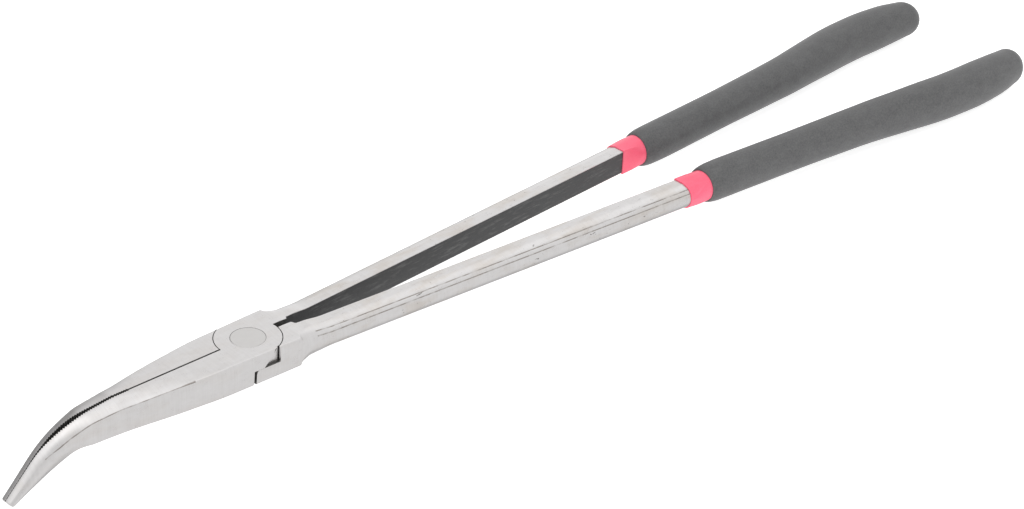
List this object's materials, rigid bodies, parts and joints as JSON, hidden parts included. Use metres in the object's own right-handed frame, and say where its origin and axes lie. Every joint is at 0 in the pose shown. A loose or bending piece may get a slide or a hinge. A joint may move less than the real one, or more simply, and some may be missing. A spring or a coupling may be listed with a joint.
{
  "type": "bent nose pliers",
  "caption": "Extra long reach pliers with a flush riveted lap joint, tapered serrated jaws bent down at the nose, and long handles with dipped two-colour grips.",
  "frame": {"origin": "where the pivot axis meets the ground joint face that the nose bends away from", "axes": "+X from the pivot along the handles, between them; +Z out of the joint face along the pivot axis; +Y towards the front half's handle; the nose lies on -X and bends to -Z"},
  "size_m": [0.4014, 0.065, 0.0235],
  "materials": {
    "steel": "ground and lightly brushed, bare steel with black forged inner faces",
    "rivet": "ground flush with the joint face",
    "sleeve": "smooth satin dipped vinyl",
    "grip": "smooth matte dipped vinyl"
  },
  "bodies": {
    "rear": {"rear_half": "steel", "pivot_rivet": "rivet", "rear_handle_sleeve": "sleeve", "rear_handle_grip": "grip"},
    "front": {"front_half": "steel", "front_handle_sleeve": "sleeve", "front_handle_grip": "grip"}
  },
  "joints": [
    {"name": "jaw_pivot", "type": "hinge", "parent": "rear", "child": "front", "pos_m": [0, 0, -0.00485], "axis": [0, 0, 1], "range_deg": [0, 32]}
  ]
}
